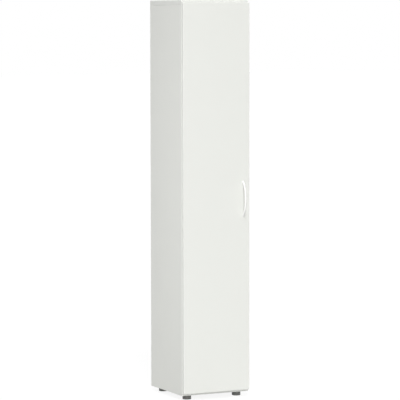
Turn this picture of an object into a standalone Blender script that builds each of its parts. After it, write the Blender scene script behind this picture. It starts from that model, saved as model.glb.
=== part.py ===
"""Tall narrow office cupboard: dowelled board carcass, five shelves, one door on concealed hinges.

Metres, +Z up.  X runs across the front, the door faces -Y, and the origin lies on the floor in the
middle of the space that the cupboard fills, handle included.
"""
import math

import bmesh
import bpy
from mathutils import Matrix, Vector

# Carcass boards
WIDTH = 0.400
HEIGHT = 2.160
CARCASS_DEPTH = 0.400
SIDE_THICK = 0.019
TOP_THICK = 0.025
BOTTOM_THICK = 0.025
BOARD_EDGE = 0.001
SEAT = 0.0003

# Back board in its grooves
BACK_THICK = 0.008
BACK_INSET = 0.012
GROOVE_DEPTH = 0.008

# Shelves and the pins that carry them
SHELF_COUNT = 5
FIXED_SHELF = 3
SHELF_THICK = 0.019
SHELF_SETBACK = 0.020
SHELF_BACK_PLAY = 0.001
SHELF_SIDE_PLAY = 0.0006
ROW_SETBACK = 0.037
HOLE_PITCH = 0.032
HOLE_DEPTH = 0.012
HOLE_PLAY = 0.0002
PIN_RADIUS = 0.0025
PIN_REACH = 0.009
PIN_TIP = 0.0008

# Dowels of the fixed joints
DOWEL_RADIUS = 0.004
DOWEL_LENGTH = 0.012
DOWEL_INSET = 0.070

# Door
DOOR_THICK = 0.019
DOOR_GAP = 0.0015
DOOR_SIDE_REVEAL = 0.0015
DOOR_END_REVEAL = 0.0115
DOOR_EDGE = 0.0025

# Concealed hinges
HINGE_END = 0.100
HINGE_SHELF = 0.045
CUP_RADIUS = 0.0172
CUP_DEPTH = 0.0132
CUP_FLOOR = 0.0008
CUP_EDGE = 0.003
CUP_RIM = 0.0009
FLANGE_LENGTH = 0.062
FLANGE_WIDTH = 0.020
FLANGE_THICK = 0.0006
FLANGE_SHIFT = 0.0055
FLANGE_SCREW_SPAN = 0.048
CHANNEL_WIDTH = 0.009
CHANNEL_WALL = 0.0009
PIVOT_INSET = 0.0066
PIVOT_DEPTH = 0.0096
PIVOT_RADIUS = 0.0010
PIVOT_PLAY = 0.00015
EYE_WALL = 0.00095
NECK_THICK = 0.0022
NECK_WIDTH = 0.007
NECK_REACH = 0.0136
NECK_TILT = math.radians(-5.0)
NECK_EXIT = 0.005
ARM_RISE = 0.011
ARM_START = 0.014
ARM_LENGTH = 0.048
ARM_WIDTH = 0.017
ARM_WALL = 0.0015
PLATE_THICK = 0.0025
PLATE_WIDTH = 0.020
PLATE_SPAN = 0.052
PLATE_CORNER = 0.006
PLATE_SCREW_SPAN = 0.032
RAIL_INSET = 0.003
SCREW_HOLE_RADIUS = 0.0022

# Bow handle and its screws
HANDLE_REACH = 0.034
HANDLE_SPAN = 0.176
HANDLE_LEAD = 0.004
HANDLE_RADIUS = 0.005
HANDLE_INSET = 0.0385
HANDLE_DROP = 0.007
HANDLE_POWER = 3.0
HANDLE_STEPS = 22
SCREW_RADIUS = 0.002
SCREW_PLAY = 0.0003
SCREW_GRIP = 0.006
SCREW_HEAD_RADIUS = 0.004
SCREW_HEAD_THICK = 0.0024

# Soft stops on the door
STOP_RADIUS = 0.0045
STOP_END = 0.080

# Levelling feet
FOOT_HEIGHT = 0.025
FOOT_RADIUS = 0.0237
FOOT_SIDE_INSET = 0.050
FOOT_FRONT_INSET = 0.045
FOOT_BACK_INSET = 0.050
FOOT_CHAMFER = 0.0015
FOOT_RECESS_PLAY = 0.002
FOOT_RECESS_DEPTH = 0.006
SPINDLE_RADIUS = 0.0049
SPINDLE_RISE = 0.019
SPINDLE_FOOT_RADIUS = 0.0065
SPINDLE_FOOT_THICK = 0.004
SPINDLE_BASE = 0.006
SPINDLE_TIP = 0.0008
KEY_WIDTH = 0.005
KEY_DEPTH = 0.006
INSERT_WALL = 0.0024
INSERT_RISE = 0.020
FLANGE_RING = 0.014
FLANGE_RING_THICK = 0.002
KEY_HOLE_RADIUS = 0.0052
CAP_RADIUS = 0.008
CAP_THICK = 0.0015
CAP_PLUG = 0.003

ROUND_STEPS = 24
EYE_STEPS = 16
SMALL_STEPS = 10

# Levels and planes that follow from the sizes above
BACK_Y = (CARCASS_DEPTH + DOOR_GAP + DOOR_THICK + HANDLE_REACH) / 2
FRONT_Y = BACK_Y - CARCASS_DEPTH
DOOR_BACK_Y = FRONT_Y - DOOR_GAP
DOOR_FRONT_Y = DOOR_BACK_Y - DOOR_THICK
BOTTOM_Z = FOOT_HEIGHT
FLOOR_Z = BOTTOM_Z + BOTTOM_THICK
CEILING_Z = HEIGHT - TOP_THICK
SIDE_X = WIDTH / 2
INNER_X = SIDE_X - SIDE_THICK
BACK_FACE_Y = BACK_Y - BACK_INSET - BACK_THICK
CLEAR_HEIGHT = (CEILING_Z - FLOOR_Z - SHELF_COUNT * SHELF_THICK) / (SHELF_COUNT + 1)
DOOR_LOW_Z = BOTTOM_Z + DOOR_END_REVEAL
DOOR_HIGH_Z = HEIGHT - DOOR_END_REVEAL
DOOR_X = SIDE_X - DOOR_SIDE_REVEAL
PIVOT = Vector((-DOOR_X + PIVOT_INSET, DOOR_BACK_Y - PIVOT_DEPTH))
EYE_BORE = PIVOT_RADIUS + PIVOT_PLAY
EYE_RADIUS = EYE_BORE + EYE_WALL
HANDLE_X = DOOR_X - HANDLE_INSET
HANDLE_Z = (DOOR_LOW_Z + DOOR_HIGH_Z) / 2 - HANDLE_DROP
INSERT_BORE = SPINDLE_RADIUS + SEAT
INSERT_RADIUS = INSERT_BORE + INSERT_WALL


def shelf_bottom(number):
    """Height of the underside of shelf 1, 2, 3 ... from the bottom."""
    return FLOOR_Z + number * CLEAR_HEIGHT + (number - 1) * SHELF_THICK


HINGE_LEVELS = (
    FLOOR_Z + HINGE_END,
    shelf_bottom(2) + SHELF_THICK + HINGE_SHELF,
    shelf_bottom(4) - HINGE_SHELF,
    CEILING_Z - HINGE_END,
)
PIN_SHELVES = [number for number in range(1, SHELF_COUNT + 1) if number != FIXED_SHELF]
ROW_Y = (FRONT_Y + ROW_SETBACK, BACK_FACE_Y - ROW_SETBACK)
DOWEL_Y = (FRONT_Y + DOWEL_INSET, BACK_FACE_Y - DOWEL_INSET)
FEET = {
    "front_left": (-SIDE_X + FOOT_SIDE_INSET, FRONT_Y + FOOT_FRONT_INSET),
    "front_right": (SIDE_X - FOOT_SIDE_INSET, FRONT_Y + FOOT_FRONT_INSET),
    "back_left": (-SIDE_X + FOOT_SIDE_INSET, BACK_Y - FOOT_BACK_INSET),
    "back_right": (SIDE_X - FOOT_SIDE_INSET, BACK_Y - FOOT_BACK_INSET),
}

for old in list(bpy.data.objects):
    bpy.data.objects.remove(old)

parts = bpy.data.collections.new("office_cupboard")
cutters = bpy.data.collections.new("cutters")
bpy.context.scene.collection.children.link(parts)
bpy.context.scene.collection.children.link(cutters)


def paint(name, colour, roughness, metallic=0.0):
    """A plain surface of one colour."""
    material = bpy.data.materials.new(name)
    material.use_nodes = True
    shader = material.node_tree.nodes["Principled BSDF"]
    shader.inputs["Base Color"].default_value = (*colour, 1.0)
    shader.inputs["Roughness"].default_value = roughness
    shader.inputs["Metallic"].default_value = metallic
    return material


BOARD = paint("white_board", (0.84, 0.85, 0.81), 0.45)
BACK = paint("white_back_board", (0.80, 0.81, 0.78), 0.55)
DOOR = paint("white_door", (0.84, 0.85, 0.81), 0.42)
BAR = paint("white_handle", (0.93, 0.93, 0.91), 0.30)
STEEL = paint("nickel_steel", (0.62, 0.61, 0.58), 0.30, 1.0)
CUP = paint("nickel_cup", (0.60, 0.59, 0.57), 0.35, 1.0)
ZINC = paint("zinc_steel", (0.55, 0.56, 0.57), 0.40, 1.0)
DARK = paint("dark_grey_plastic", (0.10, 0.10, 0.10), 0.45)
CAP = paint("white_plastic", (0.82, 0.82, 0.80), 0.40)
SOFT = paint("clear_grey_rubber", (0.55, 0.55, 0.53), 0.60)


def empty(name, location, parent=None):
    """A plain axis marker that carries other objects."""
    marker = bpy.data.objects.new(name, None)
    parts.objects.link(marker)
    marker.empty_display_size = 0.05
    hang(marker, parent, location)
    return marker


def hang(item, parent, location):
    """Put an object at a place in the world, under its parent if it has one."""
    place = Vector(location)
    if parent is not None:
        item.parent = parent
        place = place - parent.matrix_world.translation
    item.location = place
    bpy.context.view_layer.update()


def piece(name, mesh, material, location=(0, 0, 0), parent=None, turn=None):
    """A named part of the cupboard."""
    item = bpy.data.objects.new(name, mesh)
    parts.objects.link(item)
    if turn is not None:
        item.rotation_euler = turn
    if not mesh.materials:
        mesh.materials.append(material)
    hang(item, parent, location)
    return item


def tool(name, mesh, location=(0, 0, 0), turn=None):
    """A shape that is cut from a part or joined to it."""
    item = bpy.data.objects.new(name, mesh)
    cutters.objects.link(item)
    item.hide_render = True
    item.display_type = "WIRE"
    item.location = location
    if turn is not None:
        item.rotation_euler = turn
    bpy.context.view_layer.update()
    return item


def mesh_from(bm, name):
    """Turn a bmesh into a mesh."""
    mesh = bpy.data.meshes.new(name)
    bm.to_mesh(mesh)
    bm.free()
    return mesh


def box_mesh(name, size):
    """A box round its own middle."""
    bm = bmesh.new()
    bmesh.ops.create_cube(bm, size=1.0, matrix=Matrix.Diagonal((*size, 1.0)))
    return mesh_from(bm, name)


def span(low, high):
    """Middle and size of the box between two corners."""
    low, high = Vector(low), Vector(high)
    return (low + high) / 2, high - low


def rods_mesh(name, rods, steps):
    """Straight round rods, each given by its two ends and its radius."""
    bm = bmesh.new()
    for start, end, radius in rods:
        start, end = Vector(start), Vector(end)
        run = end - start
        turn = run.to_track_quat("Z", "Y").to_matrix().to_4x4()
        bmesh.ops.create_cone(
            bm, cap_ends=True, segments=steps, radius1=radius, radius2=radius,
            depth=run.length, matrix=Matrix.Translation((start + end) / 2) @ turn,
        )
    return mesh_from(bm, name)


def combine(item, other, operation):
    """Cut another shape from a part, or join it to the part."""
    change = item.modifiers.new(operation.lower(), "BOOLEAN")
    change.operation = operation
    change.object = other
    change.solver = "EXACT"
    return item


def soften(item, width, segments=2):
    """Round the sharp edges of a part."""
    edge = item.modifiers.new("edge", "BEVEL")
    edge.width = width
    edge.segments = segments
    edge.limit_method = "ANGLE"
    edge.angle_limit = math.radians(40)
    return item


def finished(item, smooth=False):
    """The mesh that an object's modifiers make. The object and its helpers go."""
    bpy.context.view_layer.update()
    graph = bpy.context.evaluated_depsgraph_get()
    mesh = bpy.data.meshes.new_from_object(item.evaluated_get(graph))
    mesh.name = item.name
    for change in item.modifiers:
        helper = getattr(change, "object", None)
        if helper is not None:
            bpy.data.objects.remove(helper)
    bpy.data.objects.remove(item)
    if smooth:
        mesh.shade_smooth()
        mesh.set_sharp_from_angle(angle=math.radians(35))
    return mesh


def turned(name, profile, steps, closed=False):
    """A profile of (radius, height) points, inner side first, turned about the Z axis."""
    mesh = bpy.data.meshes.new(name)
    points = [(radius, 0.0, height) for radius, height in profile]
    edges = [(i, i + 1) for i in range(len(points) - 1)]
    if closed:
        edges.append((len(points) - 1, 0))
    mesh.from_pydata(points, edges, [])
    item = tool(name, mesh)
    lathe = item.modifiers.new("lathe", "SCREW")
    lathe.axis = "Z"
    lathe.angle = math.tau
    lathe.steps = steps
    lathe.render_steps = steps
    lathe.use_merge_vertices = True
    lathe.merge_threshold = 0.00001
    lathe.use_smooth_shade = True
    return item


def sheet(name, outline, thickness):
    """A flat outline in X and Y, thickened along Z round its own plane."""
    curve = bpy.data.curves.new(name, "CURVE")
    curve.dimensions = "2D"
    curve.fill_mode = "BOTH"
    curve.extrude = thickness / 2
    line = curve.splines.new("POLY")
    line.points.add(len(outline) - 1)
    for point, (x, y) in zip(line.points, outline):
        point.co = (x, y, 0.0, 1.0)
    line.use_cyclic_u = True
    return solid_from_curve(name, curve)


def solid_from_curve(name, curve):
    """The closed mesh of a curve, as a helper object."""
    wire = bpy.data.objects.new(name, curve)
    cutters.objects.link(wire)
    bpy.context.view_layer.update()
    graph = bpy.context.evaluated_depsgraph_get()
    mesh = bpy.data.meshes.new_from_object(wire.evaluated_get(graph))
    place = wire.matrix_world.copy()
    bpy.data.objects.remove(wire)
    bm = bmesh.new()
    bm.from_mesh(mesh)
    bmesh.ops.remove_doubles(bm, verts=bm.verts, dist=0.00001)
    bmesh.ops.recalc_face_normals(bm, faces=bm.faces)
    bm.to_mesh(mesh)
    bm.free()
    item = tool(name, mesh)
    item.matrix_world = place
    return item


def rounded_rectangle(width, height, radius, steps=4):
    """Corner points of a rectangle with round corners."""
    points = []
    for quarter in range(4):
        angle = quarter * math.pi / 2
        cx = (width / 2 - radius) * (1 if quarter in (0, 3) else -1)
        cy = (height / 2 - radius) * (1 if quarter in (0, 1) else -1)
        for step in range(steps + 1):
            now = angle + step / steps * math.pi / 2
            points.append((cx + radius * math.cos(now), cy + radius * math.sin(now)))
    return points


def strip(path, thickness):
    """Outline of a bent strip of even thickness along a path."""
    path = [Vector(point) for point in path]
    left, right = [], []
    for i, point in enumerate(path):
        before = (point - path[i - 1]).normalized() if i else None
        after = (path[i + 1] - point).normalized() if i + 1 < len(path) else None
        run = ((before or after) + (after or before)).normalized()
        side = Vector((-run.y, run.x))
        lean = side.dot(Vector((-(after or before).y, (after or before).x)))
        left.append(point + side * thickness / 2 / lean)
        right.append(point - side * thickness / 2 / lean)
    return [tuple(point) for point in left + right[::-1]]


def board(name, low, high, edge=BOARD_EDGE, material=BOARD, parent=None):
    """A straight board between two corners, with softened edges."""
    middle, size = span(low, high)
    return soften(piece(name, box_mesh(name, size), material, middle, parent), edge)


# Carcass
root = empty("cupboard", (0, 0, 0))

groove_y = (BACK_FACE_Y - SEAT, BACK_FACE_Y + BACK_THICK + SEAT)
side_top = CEILING_Z - SEAT
for name, hand in (("side_panel_left", -1), ("side_panel_right", 1)):
    inner, outer = hand * INNER_X, hand * SIDE_X
    side = board(
        name, (min(inner, outer), FRONT_Y, BOTTOM_Z), (max(inner, outer), BACK_Y, side_top), parent=root,
    )
    groove_end = inner + hand * GROOVE_DEPTH
    groove_start = inner - hand * GROOVE_DEPTH
    middle, size = span(
        (min(groove_start, groove_end), groove_y[0], BOTTOM_Z - GROOVE_DEPTH),
        (max(groove_start, groove_end), groove_y[1], HEIGHT),
    )
    combine(side, tool(name + "_groove", box_mesh("groove", size), middle), "DIFFERENCE")
    bores = []
    for number in PIN_SHELVES:
        level = shelf_bottom(number) - SEAT - PIN_RADIUS
        for y in ROW_Y:
            for step in (-1, 0, 1):
                z = level + step * HOLE_PITCH
                bores.append((
                    (inner - hand * HOLE_DEPTH, y, z), (inner + hand * HOLE_DEPTH, y, z),
                    PIN_RADIUS + HOLE_PLAY,
                ))
    for level in (BOTTOM_Z + BOTTOM_THICK / 2, shelf_bottom(FIXED_SHELF) + SHELF_THICK / 2):
        for y in DOWEL_Y:
            reach = DOWEL_LENGTH + SEAT
            bores.append((
                (inner - hand * reach, y, level), (inner + hand * reach, y, level), DOWEL_RADIUS + HOLE_PLAY,
            ))
    combine(side, tool(name + "_bores", rods_mesh("bores", bores, SMALL_STEPS)), "DIFFERENCE")
    dowel_x = hand * (SIDE_X - SIDE_THICK / 2)
    dowels = [
        ((dowel_x, y, side_top - DOWEL_LENGTH), (dowel_x, y, side_top + DOWEL_LENGTH), DOWEL_RADIUS)
        for y in DOWEL_Y
    ]
    combine(side, tool(name + "_dowels", rods_mesh("dowels", dowels, SMALL_STEPS)), "UNION")

top = board("top_panel", (-SIDE_X, FRONT_Y, CEILING_Z), (SIDE_X, BACK_Y, HEIGHT), parent=root)
middle, size = span(
    (-INNER_X - GROOVE_DEPTH, groove_y[0], CEILING_Z - GROOVE_DEPTH),
    (INNER_X + GROOVE_DEPTH, groove_y[1], CEILING_Z + GROOVE_DEPTH),
)
combine(top, tool("top_groove", box_mesh("groove", size), middle), "DIFFERENCE")
reach = DOWEL_LENGTH + SEAT
bores = [
    ((hand * (SIDE_X - SIDE_THICK / 2), y, CEILING_Z - reach),
     (hand * (SIDE_X - SIDE_THICK / 2), y, CEILING_Z + reach), DOWEL_RADIUS + HOLE_PLAY)
    for hand in (-1, 1) for y in DOWEL_Y
]
combine(top, tool("top_bores", rods_mesh("bores", bores, SMALL_STEPS)), "DIFFERENCE")

end_x = INNER_X - SEAT
bottom = board("bottom_panel", (-end_x, FRONT_Y, BOTTOM_Z), (end_x, BACK_Y, FLOOR_Z), parent=root)
middle, size = span(
    (-SIDE_X, groove_y[0], FLOOR_Z - GROOVE_DEPTH), (SIDE_X, groove_y[1], FLOOR_Z + GROOVE_DEPTH),
)
combine(bottom, tool("bottom_groove", box_mesh("groove", size), middle), "DIFFERENCE")
bores = []
for x, y in FEET.values():
    bores.append((
        (x, y, BOTTOM_Z - INSERT_RISE), (x, y, BOTTOM_Z + INSERT_RISE + SEAT), INSERT_RADIUS + SEAT,
    ))
combine(bottom, tool("insert_bores", rods_mesh("bores", bores, ROUND_STEPS)), "DIFFERENCE")
bores = [((x, y, BOTTOM_Z), (x, y, FLOOR_Z + BOTTOM_THICK), KEY_HOLE_RADIUS) for x, y in FEET.values()]
combine(bottom, tool("key_bores", rods_mesh("bores", bores, SMALL_STEPS * 2)), "DIFFERENCE")


def end_dowels(name, level):
    """Dowels that stand out of both ends of a board."""
    rods = [
        ((hand * (end_x - DOWEL_LENGTH), y, level), (hand * (end_x + DOWEL_LENGTH), y, level), DOWEL_RADIUS)
        for hand in (-1, 1) for y in DOWEL_Y
    ]
    return tool(name, rods_mesh("dowels", rods, SMALL_STEPS))


combine(bottom, end_dowels("bottom_dowels", BOTTOM_Z + BOTTOM_THICK / 2), "UNION")

groove_reach = GROOVE_DEPTH - SEAT
board(
    "back_panel",
    (-INNER_X - groove_reach, BACK_FACE_Y, FLOOR_Z - groove_reach),
    (INNER_X + groove_reach, BACK_FACE_Y + BACK_THICK, CEILING_Z + groove_reach),
    material=BACK, parent=root,
)

# Shelves on pins, the middle one dowelled in
for number in range(1, SHELF_COUNT + 1):
    level = shelf_bottom(number)
    half = end_x if number == FIXED_SHELF else INNER_X - SHELF_SIDE_PLAY
    shelf = board(
        f"shelf_{number}",
        (-half, FRONT_Y + SHELF_SETBACK, level),
        (half, BACK_FACE_Y - SHELF_BACK_PLAY, level + SHELF_THICK),
        parent=root,
    )
    if number == FIXED_SHELF:
        combine(shelf, end_dowels("shelf_dowels", level + SHELF_THICK / 2), "UNION")

pin_mesh = finished(
    turned(
        "shelf_pin",
        [
            (0.0, PIN_REACH), (PIN_RADIUS - PIN_TIP, PIN_REACH), (PIN_RADIUS, PIN_REACH - PIN_TIP),
            (PIN_RADIUS, SEAT - HOLE_DEPTH), (0.0, SEAT - HOLE_DEPTH),
        ],
        SMALL_STEPS,
    ),
    smooth=True,
)
for number in PIN_SHELVES:
    level = shelf_bottom(number) - SEAT - PIN_RADIUS
    for side_name, hand in (("left", -1), ("right", 1)):
        for row_name, y in zip(("front", "back"), ROW_Y):
            piece(
                f"shelf_pin_{number}_{row_name}_{side_name}", pin_mesh, STEEL,
                (hand * INNER_X, y, level), root, (0, -hand * math.pi / 2, 0),
            )

# Door, carried on the axis of its hinges
door_axis = empty("door_axis", (PIVOT.x, PIVOT.y, (DOOR_LOW_Z + DOOR_HIGH_Z) / 2), root)
cup_bore = CUP_RADIUS + SEAT
cup_x = -DOOR_X + CUP_EDGE + cup_bore
door = board(
    "door_panel", (-DOOR_X, DOOR_FRONT_Y, DOOR_LOW_Z), (DOOR_X, DOOR_BACK_Y, DOOR_HIGH_Z),
    DOOR_EDGE, DOOR, door_axis,
)
bores = [
    ((cup_x, DOOR_BACK_Y - CUP_DEPTH - SEAT, z), (cup_x, DOOR_BACK_Y + CUP_DEPTH, z), cup_bore)
    for z in HINGE_LEVELS
]
combine(door, tool("cup_bores", rods_mesh("bores", bores, ROUND_STEPS)), "DIFFERENCE")
screw_levels = {"upper": HANDLE_Z + HANDLE_SPAN / 2, "lower": HANDLE_Z - HANDLE_SPAN / 2}
bores = [
    ((HANDLE_X, DOOR_FRONT_Y - DOOR_THICK, z), (HANDLE_X, DOOR_BACK_Y + DOOR_THICK, z),
     SCREW_RADIUS + SCREW_PLAY)
    for z in screw_levels.values()
]
combine(door, tool("screw_bores", rods_mesh("bores", bores, SMALL_STEPS)), "DIFFERENCE")

# Hinge cup, with its mouth in the plane y = 0 and its pivot pin across the channel
cup_rod = [((0, -CUP_DEPTH, 0), (0, CUP_RIM, 0), CUP_RADIUS)]
cup = tool("hinge_cup", rods_mesh("cup", cup_rod, ROUND_STEPS))
flange = sheet("flange", rounded_rectangle(FLANGE_WIDTH, FLANGE_LENGTH, FLANGE_WIDTH / 2.5), FLANGE_THICK)
flange.rotation_euler = (math.pi / 2, 0, 0)
flange.location = (FLANGE_SHIFT, CUP_RIM - FLANGE_THICK / 2, 0)
combine(cup, flange, "UNION")
pivot_x = PIVOT.x - cup_x
channel_low = pivot_x - EYE_RADIUS - SEAT
middle, size = span(
    (channel_low, -CUP_DEPTH + CUP_FLOOR, -CHANNEL_WIDTH / 2),
    (CUP_RADIUS - 2 * CHANNEL_WALL, CUP_DEPTH, CHANNEL_WIDTH / 2),
)
combine(cup, tool("channel", box_mesh("channel", size), middle), "DIFFERENCE")
pin_half = CHANNEL_WIDTH / 2 + CHANNEL_WALL
pin_rod = [((pivot_x, -PIVOT_DEPTH, -pin_half), (pivot_x, -PIVOT_DEPTH, pin_half), PIVOT_RADIUS)]
combine(cup, tool("pivot_pin", rods_mesh("pin", pin_rod, SMALL_STEPS + 2)), "UNION")
screw_rods = [
    ((FLANGE_SHIFT, -CUP_RIM, side * FLANGE_SCREW_SPAN / 2),
     (FLANGE_SHIFT, CUP_DEPTH, side * FLANGE_SCREW_SPAN / 2), SCREW_HOLE_RADIUS)
    for side in (-1, 1)
]
combine(cup, tool("flange_holes", rods_mesh("holes", screw_rods, SMALL_STEPS)), "DIFFERENCE")
cup_mesh = finished(cup, smooth=True)

# Hinge arm: a goose neck from the pivot round the door's edge, and a channel over the plate's rail
neck_turn = Vector((math.cos(NECK_TILT), math.sin(NECK_TILT))) * NECK_REACH
neck_out = PIVOT + neck_turn
web_x = -INNER_X + ARM_RISE
arm_start = FRONT_Y + ARM_START
arm_end = arm_start + ARM_LENGTH
arm = sheet(
    "hinge_arm",
    strip(
        [PIVOT, neck_out, (neck_out.x, FRONT_Y + NECK_EXIT), (web_x, arm_start), (web_x, arm_end)],
        NECK_THICK,
    ),
    NECK_WIDTH,
)
eye_half = NECK_WIDTH / 2
eye_rod = [((*PIVOT, -eye_half), (*PIVOT, eye_half), EYE_RADIUS)]
combine(arm, tool("eye", rods_mesh("eye", eye_rod, EYE_STEPS)), "UNION")
web_top = web_x + NECK_THICK / 2
web_under = web_x - NECK_THICK / 2
plate_top = -INNER_X + SEAT + PLATE_THICK
arm_foot = plate_top + SEAT
middle, size = span((arm_foot, arm_start, -ARM_WIDTH / 2), (web_top, arm_end, ARM_WIDTH / 2))
combine(arm, tool("channel", box_mesh("channel", size), middle), "UNION")
inner_half = ARM_WIDTH / 2 - ARM_WALL
low_corner = (arm_foot - ARM_RISE, arm_start + NECK_THICK, -inner_half)
high_corner = (web_under, arm_end + NECK_THICK, inner_half)
middle, size = span(low_corner, high_corner)
combine(arm, tool("hollow", box_mesh("hollow", size), middle), "DIFFERENCE")
bore_half = eye_half + EYE_RADIUS
bore_rod = [((*PIVOT, -bore_half), (*PIVOT, bore_half), EYE_BORE)]
combine(arm, tool("eye_bore", rods_mesh("bore", bore_rod, EYE_STEPS)), "DIFFERENCE")
arm_mesh = finished(arm, smooth=True)

# Mounting plate: a base with round corners, and the rail that the arm sits on
plate = sheet("hinge_plate", rounded_rectangle(PLATE_WIDTH, PLATE_SPAN, PLATE_CORNER), PLATE_THICK)
plate.rotation_euler = (math.pi / 2, 0, math.pi / 2)
plate.location = (-INNER_X + SEAT + PLATE_THICK / 2, FRONT_Y + ROW_SETBACK, 0)
rail_half = inner_half - SEAT
middle, size = span(
    (-INNER_X + SEAT, arm_start + NECK_THICK + SEAT, -rail_half),
    (web_under - SEAT, arm_end - RAIL_INSET, rail_half),
)
combine(plate, tool("rail", box_mesh("rail", size), middle), "UNION")
hole_y = FRONT_Y + ROW_SETBACK
screw_rods = [
    ((-INNER_X - PLATE_THICK, hole_y, side * PLATE_SCREW_SPAN / 2),
     (-INNER_X + ARM_RISE, hole_y, side * PLATE_SCREW_SPAN / 2), SCREW_HOLE_RADIUS)
    for side in (-1, 1)
]
combine(plate, tool("plate_holes", rods_mesh("holes", screw_rods, SMALL_STEPS)), "DIFFERENCE")
plate.data.transform(plate.matrix_basis)
plate.matrix_basis = Matrix.Identity(4)
plate_mesh = finished(plate, smooth=True)

for number, z in enumerate(HINGE_LEVELS, 1):
    piece(f"hinge_plate_{number}", plate_mesh, STEEL, (0, 0, z), root)
    piece(f"hinge_arm_{number}", arm_mesh, STEEL, (0, 0, z), root)
    piece(f"hinge_cup_{number}", cup_mesh, CUP, (cup_x, DOOR_BACK_Y, z), door_axis)

# Bow handle: a round bar along a flattened arch, cut flat where its slanting ends meet the door
bow = bpy.data.curves.new("handle", "CURVE")
bow.dimensions = "3D"
bow.bevel_depth = HANDLE_RADIUS
bow.bevel_resolution = 4
bow.use_fill_caps = True
arch_rise = HANDLE_REACH - HANDLE_RADIUS
arch_foot = HANDLE_SPAN / 2 + HANDLE_LEAD
arch_end = arch_foot + 2 * HANDLE_RADIUS
arch = []
for step in range(HANDLE_STEPS + 1):
    z = arch_end * (1 - 2 * step / HANDLE_STEPS)
    arch.append((z, arch_rise * (1 - (abs(z) / arch_foot) ** HANDLE_POWER)))
line = bow.splines.new("POLY")
line.points.add(len(arch) - 1)
for point, (z, out) in zip(line.points, arch):
    point.co = (0.0, -out, z, 1.0)
bar = solid_from_curve("handle", bow)
behind = box_mesh("behind", (HANDLE_REACH, HANDLE_REACH, 2 * arch_end + HANDLE_REACH))
combine(bar, tool("door_plane", behind, (0, HANDLE_REACH / 2 - SEAT, 0)), "DIFFERENCE")
screw_rods = [
    ((0, HANDLE_RADIUS, side * HANDLE_SPAN / 2), (0, -SCREW_GRIP - SEAT * 2, side * HANDLE_SPAN / 2),
     SCREW_RADIUS + SCREW_PLAY)
    for side in (-1, 1)
]
combine(bar, tool("handle_bores", rods_mesh("bores", screw_rods, SMALL_STEPS)), "DIFFERENCE")
piece("handle", finished(bar, smooth=True), BAR, (HANDLE_X, DOOR_FRONT_Y, HANDLE_Z), door_axis)

screw_tip = -DOOR_THICK - SEAT - SCREW_GRIP
screw_mesh = finished(
    turned(
        "handle_screw",
        [
            (0.0, SEAT + SCREW_HEAD_THICK), (SCREW_HEAD_RADIUS * 0.6, SEAT + SCREW_HEAD_THICK),
            (SCREW_HEAD_RADIUS, SEAT + SCREW_HEAD_THICK * 0.4), (SCREW_HEAD_RADIUS, SEAT),
            (SCREW_RADIUS, SEAT), (SCREW_RADIUS, screw_tip), (0.0, screw_tip),
        ],
        SMALL_STEPS + 2,
    ),
    smooth=True,
)
for name, z in screw_levels.items():
    piece(
        f"handle_screw_{name}", screw_mesh, ZINC,
        (HANDLE_X, DOOR_BACK_Y, z), door_axis, (-math.pi / 2, 0, 0),
    )

# Soft stops between the door and the free side
stop_thick = DOOR_GAP - 2 * SEAT
stop_mesh = finished(
    turned(
        "door_stop",
        [
            (0.0, SEAT + stop_thick), (STOP_RADIUS * 0.75, SEAT + stop_thick),
            (STOP_RADIUS, SEAT + stop_thick * 0.6), (STOP_RADIUS, SEAT), (0.0, SEAT),
        ],
        SMALL_STEPS * 2,
    ),
    smooth=True,
)
stop_x = SIDE_X - SIDE_THICK / 2
for name, z in (("upper", DOOR_HIGH_Z - STOP_END), ("lower", DOOR_LOW_Z + STOP_END)):
    piece(
        f"door_stop_{name}", stop_mesh, SOFT,
        (stop_x, DOOR_BACK_Y, z), door_axis, (-math.pi / 2, 0, 0),
    )

# Levelling feet: pad, spindle with a hexagon socket, threaded insert and cap
pad_top = FOOT_HEIGHT - SEAT
recess_radius = FLANGE_RING + FOOT_RECESS_PLAY
recess_floor = pad_top - FOOT_RECESS_DEPTH
head_top = SPINDLE_BASE + SPINDLE_FOOT_THICK
pad_mesh = finished(
    turned(
        "foot_pad",
        [
            (0.0, SPINDLE_BASE - SEAT), (SPINDLE_FOOT_RADIUS + SEAT, SPINDLE_BASE - SEAT),
            (SPINDLE_FOOT_RADIUS + SEAT, head_top + SEAT), (SPINDLE_RADIUS + SEAT, head_top + SEAT),
            (SPINDLE_RADIUS + SEAT, recess_floor), (recess_radius, recess_floor), (recess_radius, pad_top),
            (FOOT_RADIUS - FOOT_CHAMFER / 2, pad_top), (FOOT_RADIUS, pad_top - FOOT_CHAMFER / 2),
            (FOOT_RADIUS, FOOT_CHAMFER), (FOOT_RADIUS - FOOT_CHAMFER, 0.0), (0.0, 0.0),
        ],
        ROUND_STEPS,
    ),
    smooth=True,
)
spindle_top = BOTTOM_Z + SPINDLE_RISE
spindle = turned(
    "foot_spindle",
    [
        (0.0, spindle_top), (SPINDLE_RADIUS - SPINDLE_TIP, spindle_top),
        (SPINDLE_RADIUS, spindle_top - SPINDLE_TIP), (SPINDLE_RADIUS, head_top),
        (SPINDLE_FOOT_RADIUS, head_top), (SPINDLE_FOOT_RADIUS, SPINDLE_BASE), (0.0, SPINDLE_BASE),
    ],
    ROUND_STEPS // 2,
)
key_radius = KEY_WIDTH / 2 / math.cos(math.pi / 6)
key_rod = [((0, 0, spindle_top - KEY_DEPTH), (0, 0, spindle_top + KEY_DEPTH), key_radius)]
combine(spindle, tool("key_socket", rods_mesh("key", key_rod, 6)), "DIFFERENCE")
spindle_mesh = finished(spindle, smooth=True)
ring_low = BOTTOM_Z - SEAT - FLANGE_RING_THICK
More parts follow.
